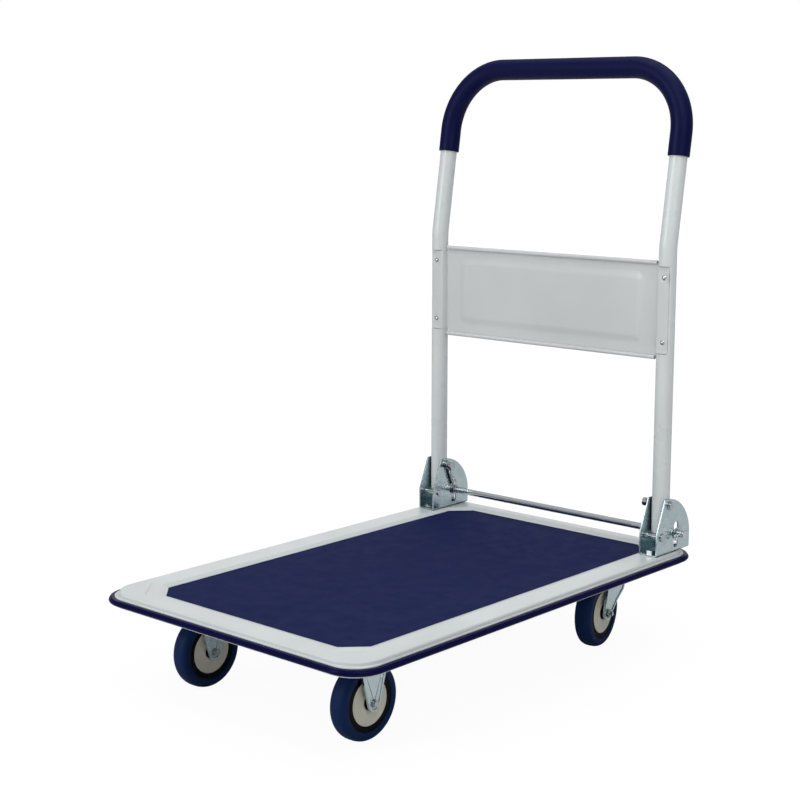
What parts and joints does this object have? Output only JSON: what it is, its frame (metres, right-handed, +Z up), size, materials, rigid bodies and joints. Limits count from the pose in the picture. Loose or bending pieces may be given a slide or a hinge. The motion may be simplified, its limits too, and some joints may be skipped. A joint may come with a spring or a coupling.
{
  "type": "folding platform trolley",
  "caption": "Flat load deck on fixed front and swivel rear casters, with a push handle that folds down over the deck when a sprung lock bar is trodden.",
  "frame": {"origin": "on the floor, under the middle of the deck", "axes": "+X to the front, away from the handle; +Y to the trolley's left; +Z up"},
  "size_m": [0.7194, 0.4724, 0.8283],
  "materials": {
    "deck_paint": "light grey-white powder coat, satin",
    "mat": "matt navy vinyl with a fine pebble",
    "bumper": "navy extruded vinyl, satin",
    "channel": "light grey powder coat",
    "zinc": "bright zinc plate with a faint blue cast",
    "fastener": "zinc plated",
    "rod": "bright plated",
    "spring": "spring steel, plated",
    "handle_paint": "light grey powder coat, satin",
    "panel_paint": "light grey powder coat, satin",
    "grip": "navy soft vinyl grip",
    "bush": "sintered bearing metal",
    "steel": "bright bearing steel",
    "tyre": "dark navy non-marking rubber",
    "core": "black moulded core",
    "cap": "warm grey moulded cover"
  },
  "bodies": {
    "deck": {"deck_pan": "deck_paint", "deck_mat": "mat", "edge_bumper": "bumper", "front_channel": "channel", "rear_channel": "channel", "left_bracket": "zinc", "right_bracket": "zinc", "bracket_bolts": "fastener", "bracket_nuts": "fastener", "pivot_pins": "fastener", "stop_pins": "fastener", "front_left_fork": "zinc", "front_right_fork": "zinc", "caster_bolts": "fastener", "caster_nuts": "fastener", "front_axles": "fastener", "front_axle_nuts": "fastener", "front_axle_sleeves": "steel", "rear_left_swivel_plate": "zinc", "rear_right_swivel_plate": "zinc", "kingpins": "fastener"},
    "handle": {"handle_tube": "handle_paint", "grip_sleeve": "grip", "back_panel": "panel_paint", "panel_rivets": "fastener", "pivot_bushes": "bush"},
    "lock_bar": {"lock_rod": "rod", "cotter_pins": "rod", "rod_washers": "fastener", "left_return_spring": "spring", "right_return_spring": "spring"},
    "rear_left_swivel": {"rear_left_fork": "zinc", "rear_left_axle": "fastener", "rear_left_axle_nut": "fastener", "rear_left_axle_sleeve": "steel", "rear_left_race_balls": "steel"},
    "rear_right_swivel": {"rear_right_fork": "zinc", "rear_right_axle": "fastener", "rear_right_axle_nut": "fastener", "rear_right_axle_sleeve": "steel", "rear_right_race_balls": "steel"},
    "front_left_wheel": {"front_left_tyre": "tyre", "front_left_core": "core", "front_left_caps": "cap", "front_left_bush": "bush"},
    "front_right_wheel": {"front_right_tyre": "tyre", "front_right_core": "core", "front_right_caps": "cap", "front_right_bush": "bush"},
    "rear_left_wheel": {"rear_left_tyre": "tyre", "rear_left_core": "core", "rear_left_caps": "cap", "rear_left_bush": "bush"},
    "rear_right_wheel": {"rear_right_tyre": "tyre", "rear_right_core": "core", "rear_right_caps": "cap", "rear_right_bush": "bush"}
  },
  "joints": [
    {"name": "handle_fold", "type": "hinge", "parent": "deck", "child": "handle", "pos_m": [-0.297, 0, 0.2055], "axis": [0, 1, 0], "range_deg": [0, 90]},
    {"name": "lock_bar_tread", "type": "slide", "parent": "deck", "child": "lock_bar", "axis": [0, 0, -1], "range_m": [0, 0.014], "stiffness_N_per_m": 3000, "deforming": ["left_return_spring", "right_return_spring"]},
    {"name": "rear_left_caster_swivel", "type": "hinge", "parent": "deck", "child": "rear_left_swivel", "pos_m": [-0.2649, 0.1376, 0.108], "axis": [0, 0, 1], "continuous": true},
    {"name": "rear_right_caster_swivel", "type": "hinge", "parent": "deck", "child": "rear_right_swivel", "pos_m": [-0.2649, -0.1376, 0.108], "axis": [0, 0, 1], "continuous": true},
    {"name": "front_left_wheel_spin", "type": "hinge", "parent": "deck", "child": "front_left_wheel", "pos_m": [0.2502, 0.1427, 0.05], "axis": [0, 1, 0], "continuous": true},
    {"name": "front_right_wheel_spin", "type": "hinge", "parent": "deck", "child": "front_right_wheel", "pos_m": [0.2502, -0.1427, 0.05], "axis": [0, 1, 0], "continuous": true},
    {"name": "rear_left_wheel_spin", "type": "hinge", "parent": "rear_left_swivel", "child": "rear_left_wheel", "pos_m": [-0.23534, 0.14273, 0.05], "axis": [-0.1711, 0.9853, 0], "continuous": true},
    {"name": "rear_right_wheel_spin", "type": "hinge", "parent": "rear_right_swivel", "child": "rear_right_wheel", "pos_m": [-0.2349, -0.1376, 0.05], "axis": [0, 1, 0], "continuous": true}
  ]
}
